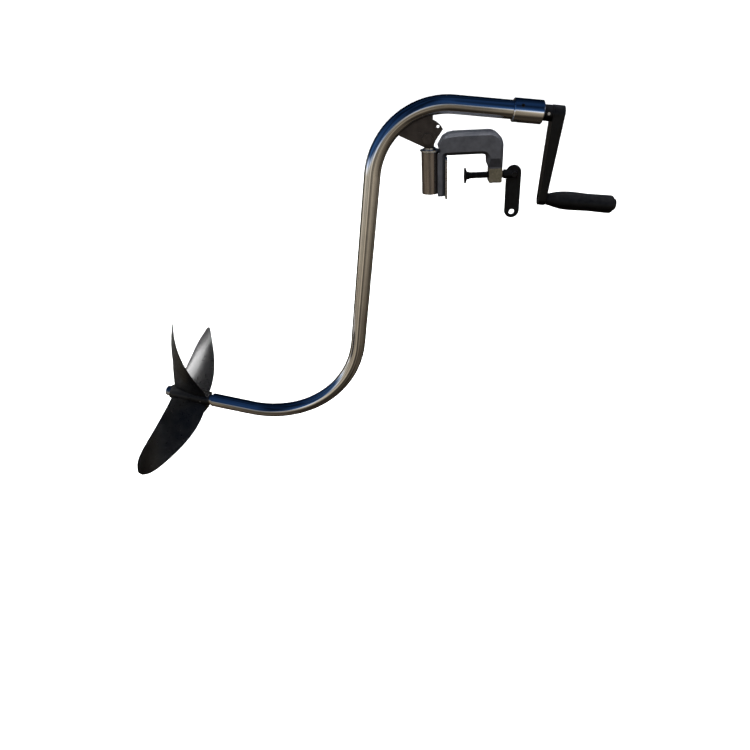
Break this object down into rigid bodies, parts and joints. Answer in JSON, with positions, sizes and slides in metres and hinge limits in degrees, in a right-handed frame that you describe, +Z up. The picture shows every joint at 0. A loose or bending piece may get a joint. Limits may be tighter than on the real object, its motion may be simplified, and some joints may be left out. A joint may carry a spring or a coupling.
{
  "type": "hand-cranked outboard propeller drive",
  "caption": "Bent stainless tube with a hand crank at one end and a bladed propeller at the other, on a swivelling, tilting clamp for a boat's transom.",
  "frame": {"origin": "middle of the fixed jaw's face, which rests on the outside of the transom", "axes": "+X from the jaw into the boat, towards the crank; +Z up; the bent tube lies in the plane Y = 0 at rest"},
  "size_m": [0.8042, 0.3426, 0.642],
  "materials": {
    "polished_steel": "mirror-polished stainless tube",
    "cast_body": "grey die-cast, satin",
    "dark_steel": "dark bronze-brown coat, semi-gloss",
    "plated_steel": "warm grey coat, semi-gloss",
    "zinc_steel": "bright zinc plate",
    "black_steel": "black oxide, satin",
    "brass_insert": "dull olive brass",
    "crank_paint": "black powder coat",
    "grip_plastic": "black moulded plastic, fine grain",
    "propeller_plastic": "black moulded plastic, gloss",
    "nylon": "natural nylon",
    "seal_rubber": "matt"
  },
  "bodies": {
    "clamp": {"clamp_frame": "cast_body", "jaw_plate": "zinc_steel", "jaw_rivets": "zinc_steel", "screw_insert": "brass_insert", "swivel_tube": "plated_steel", "swivel_bush_top": "nylon", "swivel_bush_bottom": "nylon"},
    "pad": {"clamp_pad": "black_steel"},
    "screw": {"clamp_screw": "black_steel", "screw_fork": "black_steel", "lever_rivet": "black_steel"},
    "lever": {"clamp_lever": "black_steel"},
    "head": {"steering_pin": "zinc_steel", "thrust_washer": "zinc_steel", "steering_washer": "zinc_steel", "steering_clip": "black_steel", "sector_plate": "dark_steel"},
    "tube": {"main_tube": "polished_steel", "shaft_liner": "nylon", "flexible_shaft": "black_steel", "collar": "polished_steel", "collar_screws": "black_steel", "crank_bush_inner": "nylon", "crank_bush_outer": "nylon", "prop_bush": "nylon", "shaft_seal": "seal_rubber", "gusset_near": "dark_steel", "gusset_far": "dark_steel", "tilt_stop_pin": "dark_steel", "tilt_bolt": "dark_steel", "tilt_washers": "dark_steel", "tilt_nut": "dark_steel"},
    "crank": {"upper_ferrule": "zinc_steel", "crank_shaft": "polished_steel", "crank_washer": "zinc_steel", "crank_arm": "crank_paint", "crank_pin": "zinc_steel", "grip_spindle": "zinc_steel", "spindle_washer": "zinc_steel", "spindle_nut": "zinc_steel"},
    "grip": {"grip": "grip_plastic", "grip_cap": "grip_plastic"},
    "propeller": {"lower_ferrule": "zinc_steel", "prop_shaft": "polished_steel", "prop_thrust_washer": "polished_steel", "propeller": "propeller_plastic", "prop_pin": "zinc_steel", "prop_washer": "zinc_steel", "prop_nut": "zinc_steel"}
  },
  "joints": [
    {"name": "steering", "type": "hinge", "parent": "clamp", "child": "head", "pos_m": [-0.0245, 0, 0.02], "axis": [0, 0, 1], "range_deg": [-60, 60]},
    {"name": "tilt", "type": "hinge", "parent": "head", "child": "tube", "pos_m": [-0.028, 0, 0.055], "axis": [0, -1, 0], "range_deg": [0, 20]},
    {"name": "crank_turn", "type": "hinge", "parent": "tube", "child": "crank", "pos_m": [0.0935, 0, 0.0867], "axis": [0.9919, 0, -0.1271], "continuous": true},
    {"name": "grip_spin", "type": "hinge", "parent": "crank", "child": "grip", "pos_m": [0.19753, 0, -0.04559], "axis": [0.9919, 0, -0.1271], "continuous": true},
    {"name": "propeller_turn", "type": "hinge", "parent": "tube", "child": "propeller", "pos_m": [-0.43363, 0, -0.38704], "axis": [0.9563, 0, -0.2924], "continuous": true},
    {"name": "screw_feed", "type": "slide", "parent": "clamp", "child": "pad", "axis": [1, 0, 0], "range_m": [-0.0021, 0.0161]},
    {"name": "screw_turn", "type": "hinge", "parent": "pad", "child": "screw", "pos_m": [0.06, 0, 0], "axis": [1, 0, 0], "range_deg": [-360, 2880]},
    {"name": "lever_swing", "type": "hinge", "parent": "screw", "child": "lever", "pos_m": [0.0983, 0, 0], "axis": [0, 1, 0], "range_deg": [-8, 8]}
  ],
  "couplings": [
    {"joint": "propeller_turn", "follows": "crank_turn", "ratio": 1},
    {"joint": "screw_feed", "follows": "screw_turn", "m_per_rad": 0.00031831}
  ]
}
